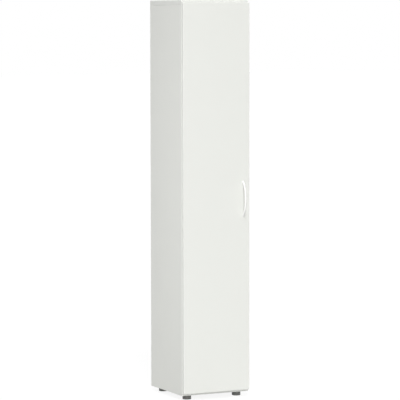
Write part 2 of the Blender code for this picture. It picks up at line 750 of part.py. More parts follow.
insert_mesh = finished(
    turned(
        "foot_insert",
        [
            (INSERT_BORE, ring_low), (INSERT_BORE, BOTTOM_Z + INSERT_RISE),
            (INSERT_RADIUS, BOTTOM_Z + INSERT_RISE), (INSERT_RADIUS, BOTTOM_Z - SEAT),
            (FLANGE_RING, BOTTOM_Z - SEAT), (FLANGE_RING, ring_low),
        ],
        ROUND_STEPS, closed=True,
    ),
    smooth=True,
)
cap_mesh = finished(
    turned(
        "foot_cap",
        [
            (0.0, SEAT + CAP_THICK), (CAP_RADIUS - CAP_THICK / 2, SEAT + CAP_THICK),
            (CAP_RADIUS, SEAT + CAP_THICK / 2), (CAP_RADIUS, SEAT), (KEY_HOLE_RADIUS - SEAT, SEAT),
            (KEY_HOLE_RADIUS - SEAT, -CAP_PLUG), (0.0, -CAP_PLUG),
        ],
        SMALL_STEPS * 2,
    ),
    smooth=True,
)
for name, (x, y) in FEET.items():
    foot_axis = empty(f"foot_axis_{name}", (x, y, 0), root)
    piece(f"foot_pad_{name}", pad_mesh, DARK, (x, y, 0), foot_axis)
    piece(f"foot_spindle_{name}", spindle_mesh, ZINC, (x, y, 0), foot_axis)
    piece(f"foot_insert_{name}", insert_mesh, ZINC, (x, y, 0), root)
    piece(f"foot_cap_{name}", cap_mesh, CAP, (x, y, FLOOR_Z), root)
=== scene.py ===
import math

import bpy
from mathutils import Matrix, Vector


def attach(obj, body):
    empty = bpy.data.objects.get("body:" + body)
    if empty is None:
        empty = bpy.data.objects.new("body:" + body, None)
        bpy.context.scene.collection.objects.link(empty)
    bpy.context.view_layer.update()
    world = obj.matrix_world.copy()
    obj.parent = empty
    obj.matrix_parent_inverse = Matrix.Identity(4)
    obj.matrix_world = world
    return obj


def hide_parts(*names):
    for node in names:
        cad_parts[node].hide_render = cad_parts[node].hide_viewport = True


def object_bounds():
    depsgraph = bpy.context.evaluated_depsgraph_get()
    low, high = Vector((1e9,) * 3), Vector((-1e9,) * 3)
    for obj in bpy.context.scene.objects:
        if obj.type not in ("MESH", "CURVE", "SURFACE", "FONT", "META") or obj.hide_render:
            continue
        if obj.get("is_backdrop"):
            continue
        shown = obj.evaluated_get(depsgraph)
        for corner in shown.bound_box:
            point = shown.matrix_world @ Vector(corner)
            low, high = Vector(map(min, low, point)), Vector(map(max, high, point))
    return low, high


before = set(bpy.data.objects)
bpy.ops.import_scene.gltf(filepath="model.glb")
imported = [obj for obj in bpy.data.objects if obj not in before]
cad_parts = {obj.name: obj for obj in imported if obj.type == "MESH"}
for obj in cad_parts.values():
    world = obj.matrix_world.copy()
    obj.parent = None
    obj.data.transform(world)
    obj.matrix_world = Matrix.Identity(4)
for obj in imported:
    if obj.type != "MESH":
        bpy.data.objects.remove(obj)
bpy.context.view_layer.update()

# Carcass, in metres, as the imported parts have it. Pieces that touch leave a gap of SEAT.
SEAT = 0.0003
SIDE_X = 0.200
INNER_X = 0.181
FRONT_Y = -0.17275
BACK_Y = 0.22725
BACK_FACE_Y = 0.20725
BACK_REAR_Y = 0.21525
BOTTOM_Z = 0.025
INNER_LOW_Z = 0.050
INNER_HIGH_Z = 2.135
TOP_Z = 2.160
GROOVE_DEPTH = 0.008
GROOVE_Y = (BACK_FACE_Y - SEAT, BACK_REAR_Y + SEAT)
BOARD_EDGE = 0.001
BAND = 0.001
DRILL_REACH = 0.02

# Shelves, their pins and the rows of holes for them
SHELF_LEVELS = (0.381667, 0.732333, 1.083, 1.433667, 1.784333)
SHELF_THICK = 0.019
SHELF_FRONT_Y = -0.15275
SHELF_REAR_Y = 0.20625
FIXED_SHELF = 3
LOOSE_SHELVES = (1, 2, 4, 5)
LOOSE_PLAY = 0.0006
PIN_RADIUS = 0.0025
PIN_REACH = 0.009
PIN_SETBACK = 0.037
PIN_ROWS = {"front": FRONT_Y + PIN_SETBACK, "back": BACK_FACE_Y - PIN_SETBACK}
HOLE_DEPTH = 0.012
HOLE_PITCH = 0.032
HOLE_PLAY = 0.0002

# Door and its soft stops
DOOR_X = 0.1985
DOOR_THICK = 0.019
DOOR_BACK_GAP = 0.0015
DOOR_BACK_Y = FRONT_Y - DOOR_BACK_GAP
DOOR_FRONT_Y = DOOR_BACK_Y - DOOR_THICK
DOOR_LOW_Z = 0.0365
DOOR_HIGH_Z = 2.1485
DOOR_EDGE = 0.0025
STOP_X = 0.1905
STOP_SETBACK = 0.080
DOOR_STOPS = {"lower": DOOR_LOW_Z + STOP_SETBACK, "upper": DOOR_HIGH_Z - STOP_SETBACK}

# Hinge cup, let into the door
HINGE_LEVELS = (0.150, 0.796333, 1.388667, 2.035)
PIVOT_X = -0.1919
PIVOT_Y = DOOR_BACK_Y - 0.0096
PIVOT_RADIUS = 0.001
PIVOT_HALF_Z = 0.0054
PIVOT_EDGE = 0.0002
CUP_X = -0.178
CUP_RADIUS = 0.0172
CUP_DEPTH = 0.0132
CUP_RIM = 0.0009
CUP_EDGE = 0.00018
CUP_STEPS = 64
FLANGE_X = CUP_X + 0.0055
FLANGE_THICK = 0.0006
FLANGE_HALF_X = 0.010
FLANGE_HALF_Z = 0.031
FLANGE_CORNER = 0.008
FLANGE_SCREW_Z = 0.024
MOUTH_RADIUS = 0.0146
MOUTH_DEPTH = 0.0026
CHANNEL_LEFT_X = CUP_X - 0.0163
CHANNEL_RIGHT_X = CUP_X + 0.0154
CHANNEL_HALF_Z = 0.0045
CHANNEL_FLOOR = 0.0008
CHANNEL_CORNER = 0.0008

# Hinge arm and the plate under it
ARM_START_Y = FRONT_Y + 0.014
ARM_END_Y = FRONT_Y + 0.062
ARM_SCREW_Y = (ARM_START_Y + 0.016, ARM_END_Y - 0.009)
ARM_FOOT_X = -0.1779
WEB_X = -0.170
WEB_TOP_X = WEB_X + 0.0011
NECK_LINE = (
    (PIVOT_X + 0.0016, PIVOT_Y - 0.00014),
    (PIVOT_X + 0.013548, PIVOT_Y - 0.001185),
    (PIVOT_X + 0.013548, FRONT_Y + 0.005),
    (WEB_X, ARM_START_Y),
    (WEB_X, ARM_START_Y + 0.012),
)
NECK_HALF_Z = 0.0035
NECK_THICK = 0.0022
NECK_BEND = 0.0024
NECK_EDGE = 0.0003
EYE_BORE = 0.00115
EYE_RADIUS = 0.0021
EYE_CHAMFER = 0.0002
SADDLE_HALF_Z = 0.0085
SADDLE_BEND = 0.0016
SADDLE_SHEET = 0.0014
SADDLE_EDGE = 0.00025
PLATE_X = -INNER_X + SEAT
PLATE_Y = FRONT_Y + PIN_SETBACK
PLATE_THICK = 0.0025
PLATE_HALF_Y = 0.010
PLATE_HALF_Z = 0.026
PLATE_CORNER = 0.006
PLATE_EDGE = 0.0005
PLATE_SCREW_Z = 0.016
RAIL_TOP_X = WEB_X - 0.0014
RAIL_START_Y = ARM_START_Y + 0.0025
RAIL_END_Y = ARM_END_Y - 0.003
RAIL_HALF_Z = 0.0067
RAIL_EDGE = 0.0006

# Bow handle and its screws
HANDLE_X = 0.160
HANDLE_Z = 1.0855
HANDLE_FOOT = 0.092
HANDLE_RISE = 0.029
HANDLE_POWER = 3.0
HANDLE_RADIUS = 0.005
HANDLE_STEPS = 72
HANDLE_ROUNDNESS = 10
HANDLE_SCREWS = {"lower": HANDLE_Z - 0.088, "upper": HANDLE_Z + 0.088}
HANDLE_SCREW_RADIUS = 0.002
HANDLE_SCREW_GRIP = 0.006
HANDLE_SCREW_CHAMFER = 0.0006
RECESS_REACH = 0.62

# Levelling feet
FOOT_X = 0.150
FOOT_FRONT_Y = FRONT_Y + 0.045
FOOT_BACK_Y = BACK_Y - 0.050
FEET = {
    "front_left": (-FOOT_X, FOOT_FRONT_Y),
    "front_right": (FOOT_X, FOOT_FRONT_Y),
    "back_left": (-FOOT_X, FOOT_BACK_Y),
    "back_right": (FOOT_X, FOOT_BACK_Y),
}
FOOT_RADIUS = 0.0237
THREAD_CORE = 0.0041
THREAD_CREST = 0.0049
THREAD_LOW_Z = 0.0098
THREAD_HIGH_Z = 0.0438
THREAD_STEPS = 32
# Radius of the thread, and how far below its start, in pitches
THREAD_PROFILE = (
    (THREAD_CORE, 1), (THREAD_CREST, 0.60), (THREAD_CREST, 0.45), (THREAD_CORE, 0.05), (THREAD_CORE, 0),
)
PITCH = 0.0015
KEY_WIDTH = 0.005
KEY_DEPTH = 0.006
KEY_HOLE_RADIUS = 0.0052
INSERT_BORE = 0.0052
INSERT_RADIUS = 0.0076
INSERT_RISE = 0.020
INSERT_FLANGE_Z = 0.0227
CAP_THICK = 0.0015
CAP_STEM = 0.003

# Closeness at which two places count as one and at which points are merged, and the share of a face's
# direction that has to lie along an axis for it to face that way
TOUCH = 1e-6
MERGE = 0.000002
FACING = 0.9

# Noise: its usual range, the detail of clouds and of grain, and how strongly the grain is raised
NOISE_RANGE = (0.3, 0.7)
CLOUD_DETAIL = 3
GRAIN_DETAIL = 4
GRAIN_STRENGTH = 0.35

# Sockets of the colour mixing node, which are told apart by number alone
MIX_FACTOR = 0
MIX_FIRST = 6
MIX_SECOND = 7
MIX_RESULT = 2


# Finishes
def shader_of(material):
    """The shader of a finish."""
    return material.node_tree.nodes["Principled BSDF"]


def grain(nodes, links, place, scale, detail, stretch=(1, 1, 1)):
    """A noise of so many spots to the metre, stretched along an axis where asked."""
    mapping = nodes.new("ShaderNodeMapping")
    mapping.inputs["Scale"].default_value = stretch
    links.new(place, mapping.inputs["Vector"])
    noise = nodes.new("ShaderNodeTexNoise")
    noise.inputs["Scale"].default_value = scale
    noise.inputs["Detail"].default_value = detail
    links.new(mapping.outputs["Vector"], noise.inputs["Vector"])
    return noise.outputs["Fac"]


def between(nodes, links, value, low, high):
    """A noise value brought between two limits."""
    ranged = nodes.new("ShaderNodeMapRange")
    ranged.inputs["From Min"].default_value = NOISE_RANGE[0]
    ranged.inputs["From Max"].default_value = NOISE_RANGE[1]
    ranged.inputs["To Min"].default_value = low
    ranged.inputs["To Max"].default_value = high
    links.new(value, ranged.inputs["Value"])
    return ranged.outputs["Result"]


def mottled(nodes, links, value, colour, spread):
    """A colour that varies a little with a noise."""
    mix = nodes.new("ShaderNodeMix")
    mix.data_type = "RGBA"
    mix.inputs[MIX_FIRST].default_value = (*[c * (1 - spread) for c in colour], 1)
    mix.inputs[MIX_SECOND].default_value = (*[min(c * (1 + spread), 1) for c in colour], 1)
    links.new(value, mix.inputs[MIX_FACTOR])
    return mix.outputs[MIX_RESULT]


def surface(name, colour, spread, rough, clouds, grains, depth, metal=0.0, stretch=(1, 1, 1)):
    """A finish with clouded colour, uneven gloss and a fine raised grain, in the piece's own coordinates."""
    material = bpy.data.materials.new(name)
    material.use_nodes = True
    nodes, links = material.node_tree.nodes, material.node_tree.links
    shader = shader_of(material)
    place = nodes.new("ShaderNodeTexCoord").outputs["Object"]
    cloud = grain(nodes, links, place, clouds, CLOUD_DETAIL)
    links.new(mottled(nodes, links, cloud, colour, spread), shader.inputs["Base Color"])
    texture = grain(nodes, links, place, grains, GRAIN_DETAIL, stretch)
    links.new(between(nodes, links, texture, *rough), shader.inputs["Roughness"])
    bump = nodes.new("ShaderNodeBump")
    bump.inputs["Strength"].default_value = GRAIN_STRENGTH
    bump.inputs["Distance"].default_value = depth
    links.new(texture, bump.inputs["Height"])
    links.new(bump.outputs["Normal"], shader.inputs["Normal"])
    shader.inputs["Metallic"].default_value = metal
    return material


WHITE = (0.840, 0.850, 0.812)
board_melamine = surface(
    "board_melamine", WHITE, spread=0.012, rough=(0.40, 0.50),
    clouds=7, grains=1500, depth=0.00006,
)
door_melamine = surface(
    "door_melamine", WHITE, spread=0.008, rough=(0.38, 0.48),
    clouds=5, grains=1500, depth=0.00006,
)
# Edge band of the top and bottom boards: a darker copy of edge_band, painted shade that dims the top board's
# edges where light bounces onto them and the bottom board's front edge in the door's shadow
shaded_edge_band = surface(
    "shaded_edge_band", (0.805, 0.815, 0.780), spread=0.008, rough=(0.32, 0.40),
    clouds=9, grains=2200, depth=0.00003,
)
edge_band = surface(
    "edge_band", (0.840, 0.850, 0.816), spread=0.008, rough=(0.30, 0.38),
    clouds=9, grains=2200, depth=0.00003,
)
back_lacquer = surface(
    "back_lacquer", (0.800, 0.810, 0.780), spread=0.018, rough=(0.48, 0.60),
    clouds=10, grains=1100, depth=0.00008,
)
handle_lacquer = surface(
    "handle_lacquer", (0.970, 0.970, 0.955), spread=0.008, rough=(0.20, 0.28),
    clouds=60, grains=1800, depth=0.00002,
)
shader_of(handle_lacquer).inputs["Coat Weight"].default_value = 0.8
shader_of(handle_lacquer).inputs["Coat Roughness"].default_value = 0.12
nickel = surface(
    "nickel", (0.620, 0.610, 0.580), spread=0.05, rough=(0.22, 0.34),
    clouds=90, grains=2600, depth=0.00002, metal=1.0, stretch=(1, 1, 0.12),
)
zinc = surface(
    "zinc", (0.550, 0.560, 0.570), spread=0.06, rough=(0.30, 0.46),
    clouds=160, grains=2400, depth=0.00003, metal=1.0,
)
foot_plastic = surface(
    "foot_plastic", (0.155, 0.157, 0.147), spread=0.12, rough=(0.36, 0.46),
    clouds=120, grains=1900, depth=0.00006,
)
cap_plastic = surface(
    "cap_plastic", (0.820, 0.820, 0.800), spread=0.012, rough=(0.34, 0.44),
    clouds=80, grains=2000, depth=0.00003,
)
stop_rubber = surface(
    "stop_rubber", (0.550, 0.550, 0.530), spread=0.04, rough=(0.50, 0.62),
    clouds=150, grains=1500, depth=0.00004,
)
shader_of(stop_rubber).inputs["Transmission Weight"].default_value = 0.35


# Ways of working
def let_go():
    """Leave edit mode and select nothing."""
    if bpy.context.object and bpy.context.object.mode != "OBJECT":
        bpy.ops.object.mode_set(mode="OBJECT")
    bpy.ops.object.select_all(action="DESELECT")


def take(item):
    """Make one object the only selected and the active one."""
    let_go()
    item.select_set(True)
    bpy.context.view_layer.objects.active = item
    return item


def edit_all(item):
    """Open one object in edit mode with everything in it selected."""
    take(item)
    bpy.ops.object.mode_set(mode="EDIT")
    bpy.ops.mesh.select_mode(type="VERT")
    bpy.ops.mesh.select_all(action="SELECT")


def edit_none(item, kind):
    """Ready one object for a choice of its edges or faces, with none of them selected."""
    edit_all(item)
    bpy.ops.mesh.select_mode(type=kind)
    bpy.ops.mesh.select_all(action="DESELECT")
    bpy.ops.object.mode_set(mode="OBJECT")


def settle(item):
    """Put an object's place, turn and size into its mesh."""
    take(item)
    bpy.ops.object.transform_apply(location=True, rotation=True, scale=True)
    return item


def named(name):
    """Name the object that was just added, and its mesh."""
    item = bpy.context.object
    item.name = name
    item.data.name = name
    return item


def block(name, low, high):
    """A box between two corners, as a start."""
    let_go()
    middle = [(a + b) / 2 for a, b in zip(low, high)]
    size = [b - a for a, b in zip(low, high)]
    bpy.ops.mesh.primitive_cube_add(size=1, location=middle)
    item = named(name)
    item.scale = size
    return settle(item)


def rod(name, start, end, radius, steps):
    """A round bar between two points, as a start or as a cutter."""
    along = Vector(end) - Vector(start)
    let_go()
    bpy.ops.mesh.primitive_cylinder_add(
        vertices=steps, radius=radius, depth=along.length,
        location=(Vector(start) + Vector(end)) / 2, rotation=along.to_track_quat("Z", "Y").to_euler(),
    )
    return settle(named(name))


def joined(items):
    """Several objects made one."""
    let_go()
    for item in items:
        item.select_set(True)
    bpy.context.view_layer.objects.active = items[0]
    bpy.ops.object.join()
    return items[0]


def use(item, kind, **settings):
    """Add a modifier, set it and apply it."""
    take(item)
    bpy.ops.object.modifier_add(type=kind)
    modifier = item.modifiers[-1]
    for key, value in settings.items():
        setattr(modifier, key, value)
    bpy.ops.object.modifier_apply(modifier=modifier.name)
    return item


def soften(item, width, segments=3, angle=40.0):
    """Round the sharp edges."""
    return use(item, "BEVEL", width=width, segments=segments, limit_method="ANGLE",
               angle_limit=math.radians(angle))


def combined(item, other, operation):
    """Cut another shape out of an object, or grow the two together."""
    use(item, "BOOLEAN", operation=operation, object=other, solver="EXACT")
    dropped(other)
    return item


def smooth(item, angle=35.0):
    """Smooth shading, with flat faces left flat."""
    take(item)
    bpy.ops.object.shade_smooth_by_angle(angle=math.radians(angle))
    return use(item, "WEIGHTED_NORMAL", keep_sharp=True)


def coated(item, finish):
    """Give an object its finish."""
    item.data.materials.append(finish)
    return item


def round_edges(item, chosen, width, segments):
    """Round the edges whose two ends pass a test."""
    edit_none(item, "EDGE")
    for edge in item.data.edges:
        edge.select = chosen(*[item.data.vertices[i].co for i in edge.vertices])
    bpy.ops.object.mode_set(mode="EDIT")
    bpy.ops.mesh.bevel(offset=width, segments=segments, affect="EDGES")
    bpy.ops.object.mode_set(mode="OBJECT")
    return item


def runs_along(axis):
    """A test for edges that run along an axis."""
    return lambda a, b: all(abs(a[i] - b[i]) < TOUCH for i in range(3) if i != axis)


def opened(item, chosen):
    """Take out the faces whose normal passes a test."""
    edit_none(item, "FACE")
    for polygon in item.data.polygons:
        polygon.select = chosen(polygon.normal)
    bpy.ops.object.mode_set(mode="EDIT")
    bpy.ops.mesh.delete(type="FACE")
    bpy.ops.object.mode_set(mode="OBJECT")
    return item


def cut_off(item, point, outwards):
    """Cut away what lies outside a plane, and close the cut."""
    edit_all(item)
    bpy.ops.mesh.bisect(plane_co=point, plane_no=outwards, use_fill=True, clear_outer=True)
    bpy.ops.object.mode_set(mode="OBJECT")
    return item


def closed_up(item):
    """Merge what lies together and turn the faces outwards."""
    edit_all(item)
    bpy.ops.mesh.remove_doubles(threshold=MERGE)
    bpy.ops.mesh.select_all(action="SELECT")
    bpy.ops.mesh.normals_make_consistent(inside=False)
    bpy.ops.object.mode_set(mode="OBJECT")
    return item


def drawn_line(name, points):
    """A chain of edges through the points: a plane shrunk to the first, and each next one drawn out of it."""
    let_go()
    bpy.ops.mesh.primitive_plane_add(size=0.001)
    item = named(name)
    edit_all(item)
    bpy.ops.mesh.merge(type="CENTER")
    bpy.ops.transform.translate(value=points[0])
    for here, there in zip(points, points[1:]):
        step = [b - a for a, b in zip(here, there)]
        bpy.ops.mesh.extrude_region_move(TRANSFORM_OT_translate={"value": step})
    bpy.ops.object.mode_set(mode="OBJECT")
    return item


def turned(name, profile, steps):
    """A turned shape: a profile of radius and height, spun about the upright axis and closed."""
    item = drawn_line(name, [(radius, 0, height) for radius, height in profile])
    edit_all(item)
    bpy.ops.mesh.spin(steps=steps, angle=2 * math.pi, center=(0, 0, 0), axis=(0, 0, 1))
    return closed_up(item)


def copied(item, name, shift, turn=(0, 0, 0)):
    """A copy with its own mesh, turned about the origin and moved."""
    take(item)
    bpy.ops.object.duplicate(linked=False)
    copy = named(name)
    copy.rotation_euler = turn
    copy.location = shift
    return settle(copy)


def dropped(item):
    """Delete a cutter that has been used, or a pattern that has been copied."""
    take(item)
    bpy.ops.object.delete()


def hand_over(item, body, slot, *nodes):
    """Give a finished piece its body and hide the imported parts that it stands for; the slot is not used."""
    settle(item)
    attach(item, body)
    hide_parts(*nodes)
    return item


TO_BACK = (-math.pi / 2, 0, 0)
TO_RIGHT = (0, math.pi / 2, 0)
TO_LEFT = (0, -math.pi / 2, 0)


# Boards with their edge bands
def banded_board(name, low, high, banded, edge, face, band):
    """A board with rounded edges, whose banded edges carry a strip of plastic a millimetre thick."""
    item = soften(block(name, low, high), edge, segments=4)
    edit_all(item)
    for axis, end in banded:
        normal = [0, 0, 0]
        normal[axis] = 1
        point = [0, 0, 0]
        point[axis] = low[axis] + BAND if end < 0 else high[axis] - BAND
        bpy.ops.mesh.select_all(action="SELECT")
        bpy.ops.mesh.bisect(plane_co=point, plane_no=normal)
    bpy.ops.object.mode_set(mode="OBJECT")
    coated(item, face)
    coated(item, band)
    for polygon in item.data.polygons:
        for axis, end in banded:
            at = polygon.center[axis]
            if (at < low[axis] + BAND) if end < 0 else (at > high[axis] - BAND):
                polygon.material_index = 1
    return item


def bored(item, bores, steps):
    """Drill round holes, each given by its two ends and its radius."""
    drills = [rod("drill", start, end, radius, steps) for start, end, radius in bores]
    return combined(item, joined(drills), "DIFFERENCE")


# Ends of a board, each an axis and a side of it
X_LOW, X_HIGH, Y_LOW, Z_LOW, Z_HIGH = (0, -1), (0, 1), (1, -1), (2, -1), (2, 1)

for hand, word in ((-1, "left"), (1, "right")):
    low = (min(hand * INNER_X, hand * SIDE_X), FRONT_Y, BOTTOM_Z)
    high = (max(hand * INNER_X, hand * SIDE_X), BACK_Y, INNER_HIGH_Z - SEAT)
    side = banded_board(f"side_{word}", low, high, [Y_LOW], BOARD_EDGE, board_melamine, edge_band)
    reach = sorted((hand * (INNER_X - GROOVE_DEPTH), hand * (INNER_X + GROOVE_DEPTH)))
    groove = block("groove", (reach[0], GROOVE_Y[0], 0), (reach[1], GROOVE_Y[1], TOP_Z))
    combined(side, groove, "DIFFERENCE")
    holes = []
    for shelf in LOOSE_SHELVES:
        for y in PIN_ROWS.values():
            for step in (-1, 0, 1):
                z = SHELF_LEVELS[shelf - 1] - SEAT - PIN_RADIUS + step * HOLE_PITCH
                start = (hand * (INNER_X - HOLE_DEPTH), y, z)
                end = (hand * (INNER_X + HOLE_DEPTH), y, z)
                holes.append((start, end, PIN_RADIUS + HOLE_PLAY))
    bored(side, holes, steps=20)
    hand_over(smooth(side), "carcass", "white_board", f"side_panel_{word}")

# The top board's front edge and ends carry the darker band, painted shade
top = banded_board(
    "top_board", (-SIDE_X, FRONT_Y, INNER_HIGH_Z), (SIDE_X, BACK_Y, TOP_Z),
    [Y_LOW, X_LOW, X_HIGH], BOARD_EDGE, board_melamine, shaded_edge_band,
)
groove_end = INNER_X + GROOVE_DEPTH
groove = block("groove", (-groove_end, GROOVE_Y[0], INNER_HIGH_Z - GROOVE_DEPTH),
               (groove_end, GROOVE_Y[1], INNER_HIGH_Z + GROOVE_DEPTH))
combined(top, groove, "DIFFERENCE")
hand_over(smooth(top), "carcass", "white_board", "top_panel")

fitted_x = INNER_X - SEAT
# The bottom board's front edge carries the darker band, painted shade under the door
bottom = banded_board(
    "bottom_board", (-fitted_x, FRONT_Y, BOTTOM_Z), (fitted_x, BACK_Y, INNER_LOW_Z),
    [Y_LOW], BOARD_EDGE, board_melamine, shaded_edge_band,
)
groove = block("groove", (-SIDE_X, GROOVE_Y[0], INNER_LOW_Z - GROOVE_DEPTH),
               (SIDE_X, GROOVE_Y[1], INNER_LOW_Z + GROOVE_DEPTH))
combined(bottom, groove, "DIFFERENCE")
seat_top = BOTTOM_Z + INSERT_RISE + SEAT
bored(bottom, [((x, y, 0), (x, y, seat_top), INSERT_RADIUS + SEAT) for x, y in FEET.values()], steps=48)
key_top = INNER_LOW_Z + DRILL_REACH
bored(bottom, [((x, y, BOTTOM_Z), (x, y, key_top), KEY_HOLE_RADIUS) for x, y in FEET.values()], steps=40)
hand_over(smooth(bottom), "carcass", "white_board", "bottom_panel")

loose_x = INNER_X - LOOSE_PLAY
loose_shelf = banded_board(
    "shelf_board", (-loose_x, SHELF_FRONT_Y, 0), (loose_x, SHELF_REAR_Y, SHELF_THICK),
    [Y_LOW], BOARD_EDGE, board_melamine, edge_band,
)
smooth(loose_shelf)
for shelf in LOOSE_SHELVES:
    board = copied(loose_shelf, f"shelf_board_{shelf}", (0, 0, SHELF_LEVELS[shelf - 1]))
    hand_over(board, "carcass", "white_board", f"shelf_{shelf}")
dropped(loose_shelf)
fixed_z = SHELF_LEVELS[FIXED_SHELF - 1]
fixed_shelf = banded_board(
    f"shelf_board_{FIXED_SHELF}", (-fitted_x, SHELF_FRONT_Y, fixed_z),
    (fitted_x, SHELF_REAR_Y, fixed_z + SHELF_THICK), [Y_LOW], BOARD_EDGE, board_melamine, edge_band,
)
hand_over(smooth(fixed_shelf), "carcass", "white_board", f"shelf_{FIXED_SHELF}")

door = banded_board(
    "door_leaf", (-DOOR_X, DOOR_FRONT_Y, DOOR_LOW_Z), (DOOR_X, DOOR_BACK_Y, DOOR_HIGH_Z),
    [X_LOW, X_HIGH, Z_LOW, Z_HIGH], DOOR_EDGE, door_melamine, edge_band,
)
drill_end = DOOR_BACK_Y + DRILL_REACH
cup_seat = DOOR_BACK_Y - CUP_DEPTH - SEAT
bored(door, [((CUP_X, cup_seat, z), (CUP_X, drill_end, z), CUP_RADIUS + SEAT) for z in HINGE_LEVELS],
      steps=CUP_STEPS)
screw_start = DOOR_FRONT_Y - DRILL_REACH
bored(door, [((HANDLE_X, screw_start, z), (HANDLE_X, drill_end, z), HANDLE_SCREW_RADIUS + SEAT)
             for z in HANDLE_SCREWS.values()], steps=24)
hand_over(smooth(door), "door", "white_door", "door_panel")

# Back panel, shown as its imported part
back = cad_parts["back_panel"]
back.data.materials.clear()
coated(back, back_lacquer)

# Bow handle: a round bar along a flattened arch, cut flat where its slanting ends meet the door
arch_end = HANDLE_FOOT + 2 * HANDLE_RADIUS
arch = []
for step in range(HANDLE_STEPS + 1):
    z = arch_end * (1 - 2 * step / HANDLE_STEPS)
    arch.append((z, HANDLE_RISE * (1 - (abs(z) / HANDLE_FOOT) ** HANDLE_POWER)))
bow = drawn_line("handle_bow", [(HANDLE_X, DOOR_FRONT_Y - out, HANDLE_Z + z) for z, out in arch])
take(bow)
bpy.ops.object.convert(target="CURVE")
bow.data.bevel_depth = HANDLE_RADIUS
bow.data.bevel_resolution = HANDLE_ROUNDNESS
bow.data.use_fill_caps = True
bpy.ops.object.convert(target="MESH")
bow = bpy.context.object
bow.data.name = "handle_bow"
closed_up(bow)
cut_off(bow, (0, DOOR_FRONT_Y - SEAT, 0), (0, 1, 0))
closed_up(bow)
grip_start = DOOR_FRONT_Y + DRILL_REACH / 2
grip_end = DOOR_FRONT_Y - HANDLE_SCREW_GRIP - 2 * SEAT
bored(bow, [((HANDLE_X, grip_start, z), (HANDLE_X, grip_end, z), HANDLE_SCREW_RADIUS + SEAT)
            for z in HANDLE_SCREWS.values()], steps=24)
coated(bow, handle_lacquer)
hand_over(smooth(bow, angle=50), "door", "white_handle", "handle")


# Screw heads
def cross_headed(name, profile, depth, width):
    """A turned screw with a cross recess in the top of its head."""
    screw = turned(name, profile, steps=40)
    top = max(height for radius, height in profile)
    arm = RECESS_REACH * max(radius for radius, height in profile)
    for half in ((arm, width / 2), (width / 2, arm)):
        key = block("recess", (-half[0], -half[1], top - depth), (half[0], half[1], top + depth))
        combined(screw, key, "DIFFERENCE")
    return smooth(coated(screw, zinc))


small_screw = cross_headed("small_screw", [
    (0, 0.0010), (0.0016, 0.00092), (0.0026, 0.00062), (0.0033, 0.0002), (0.0034, 0),
    (0.0018, -0.0004), (0, -0.0004),
], depth=0.0007, width=0.0008)

screw_end = -DOOR_THICK - SEAT - HANDLE_SCREW_GRIP
handle_screw = cross_headed("handle_screw", [
    (0, 0.0027), (0.0018, 0.00255), (0.0031, 0.00205), (0.0038, 0.0013), (0.0040, 0.0007), (0.0040, SEAT),
    (HANDLE_SCREW_RADIUS, SEAT), (HANDLE_SCREW_RADIUS, screw_end + HANDLE_SCREW_CHAMFER),
    (HANDLE_SCREW_RADIUS - HANDLE_SCREW_CHAMFER, screw_end), (0, screw_end),
], depth=0.0014, width=0.0010)
for word, z in HANDLE_SCREWS.items():
    screw = copied(handle_screw, f"bow_screw_{word}", (HANDLE_X, DOOR_BACK_Y, z), TO_BACK)
    hand_over(screw, "door", "zinc_steel", f"handle_screw_{word}")
dropped(handle_screw)

# Concealed hinges: cup with its flange, its mouth, the channel for the arm and the pivot pin
rim_y = DOOR_BACK_Y + CUP_RIM
cutter_end = DOOR_BACK_Y + DRILL_REACH / 2
cup = rod("cup", (CUP_X, DOOR_BACK_Y - CUP_DEPTH, 0), (CUP_X, rim_y, 0), CUP_RADIUS, CUP_STEPS)
flange = block("flange", (FLANGE_X - FLANGE_HALF_X, rim_y - FLANGE_THICK, -FLANGE_HALF_Z),
               (FLANGE_X + FLANGE_HALF_X, rim_y, FLANGE_HALF_Z))
round_edges(flange, runs_along(1), FLANGE_CORNER, segments=8)
combined(cup, flange, "UNION")
mouth = rod("mouth", (CUP_X, DOOR_BACK_Y - MOUTH_DEPTH, 0), (CUP_X, cutter_end, 0), MOUTH_RADIUS, CUP_STEPS)
combined(cup, mouth, "DIFFERENCE")
channel = block("channel", (CHANNEL_LEFT_X, DOOR_BACK_Y - CUP_DEPTH + CHANNEL_FLOOR, -CHANNEL_HALF_Z),
                (CHANNEL_RIGHT_X, cutter_end, CHANNEL_HALF_Z))
round_edges(channel, runs_along(1), CHANNEL_CORNER, segments=3)
combined(cup, channel, "DIFFERENCE")
soften(cup, CUP_EDGE, segments=2, angle=50)
pin = rod("pivot_pin", (PIVOT_X, PIVOT_Y, -PIVOT_HALF_Z), (PIVOT_X, PIVOT_Y, PIVOT_HALF_Z), PIVOT_RADIUS, 24)
soften(pin, PIVOT_EDGE, segments=2)
hinge_cup = joined([coated(cup, nickel), coated(pin, zinc)])
cup_screws = [copied(small_screw, "cup_screw", (FLANGE_X, rim_y, z), TO_BACK)
              for z in (-FLANGE_SCREW_Z, FLANGE_SCREW_Z)]
hinge_cup = smooth(joined([hinge_cup, *cup_screws]))

